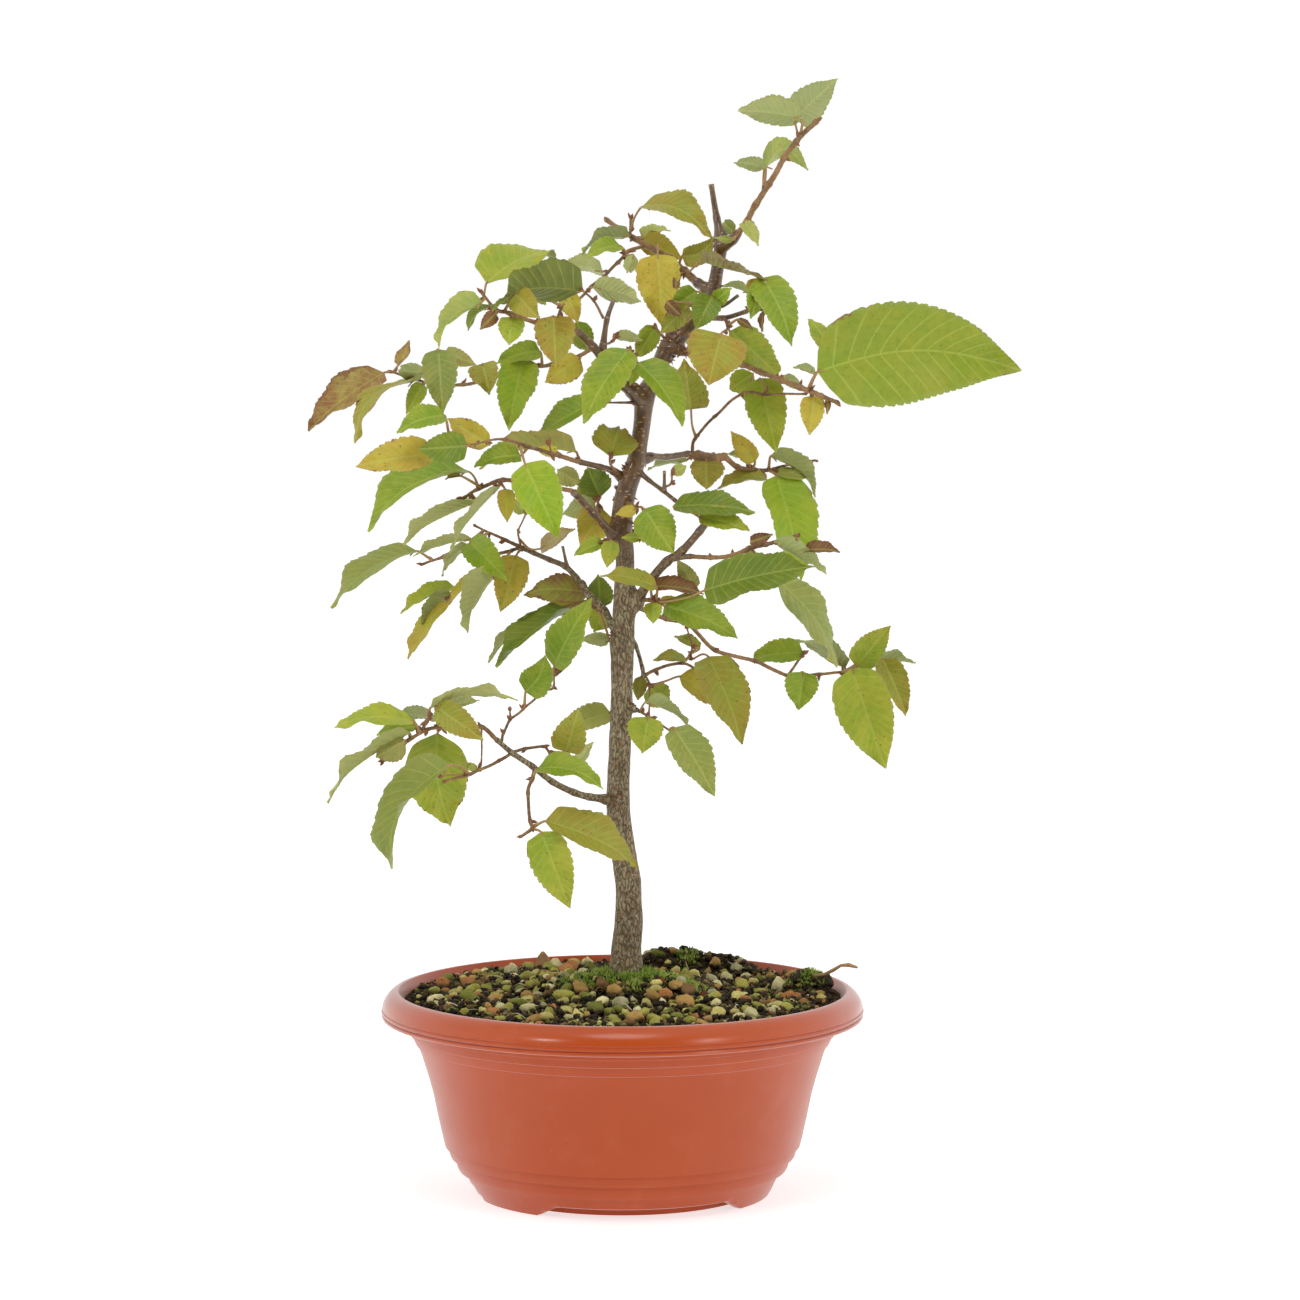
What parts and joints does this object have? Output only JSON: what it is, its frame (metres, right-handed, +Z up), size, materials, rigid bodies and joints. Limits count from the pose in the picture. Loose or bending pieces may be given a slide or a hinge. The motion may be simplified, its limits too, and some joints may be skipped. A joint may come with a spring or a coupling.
{
  "type": "potted bonsai tree",
  "caption": "Young broad-leaved bonsai tree with a slender crooked trunk and a loose serrated-leaf crown, in a round flared plastic training pot filled with grainy soil.",
  "frame": {"origin": "centre of the pot's base, in the plane it stands on", "axes": "+Z up along the pot's axis, -Y towards the viewer of the front, +X to the viewer's right"},
  "size_m": [0.3209, 0.22, 0.5046],
  "materials": {
    "pot_plastic": "satin terracotta-coloured moulded plastic, glossier on the rim",
    "soil": "dark humus with pale, ochre and olive grains and green moss",
    "bark": "grey-brown bark with a fine tan network low down, smooth brown above",
    "leaves": "early-autumn leaves, fresh green to olive and yellow with rust-brown edges, thin brown twigs"
  },
  "bodies": {
    "root": {"pot": "pot_plastic", "shoot_big_leaf": "leaves", "shoot_centre_left": "leaves", "shoot_crown_left": "leaves", "shoot_crown_mid": "leaves", "shoot_crown_right": "leaves", "shoot_crown_right_low": "leaves", "shoot_fork": "leaves", "shoot_fork_back": "leaves", "shoot_fork_low": "leaves", "shoot_fork_pale": "leaves", "shoot_front_leaf": "leaves", "shoot_front_right": "leaves", "shoot_hanging": "leaves", "shoot_leader": "leaves", "shoot_left_inner": "leaves", "shoot_left_mid": "leaves", "shoot_left_spur": "leaves", "shoot_left_tan": "leaves", "shoot_left_upper": "leaves", "shoot_low_back": "leaves", "shoot_low_inner": "leaves", "shoot_low_left": "leaves", "shoot_low_twig": "leaves", "shoot_low_up": "leaves", "shoot_right_big": "leaves", "shoot_right_dark": "leaves", "shoot_right_inner": "leaves", "shoot_right_inner_pale": "leaves", "shoot_right_low": "leaves", "shoot_right_lowest": "leaves", "shoot_right_mid": "leaves", "shoot_stub_leaf": "leaves", "shoot_swelling": "leaves", "shoot_upper_left": "leaves", "shoot_upper_left_low": "leaves", "soil": "soil", "trunk": "bark"}
  },
  "joints": []
}
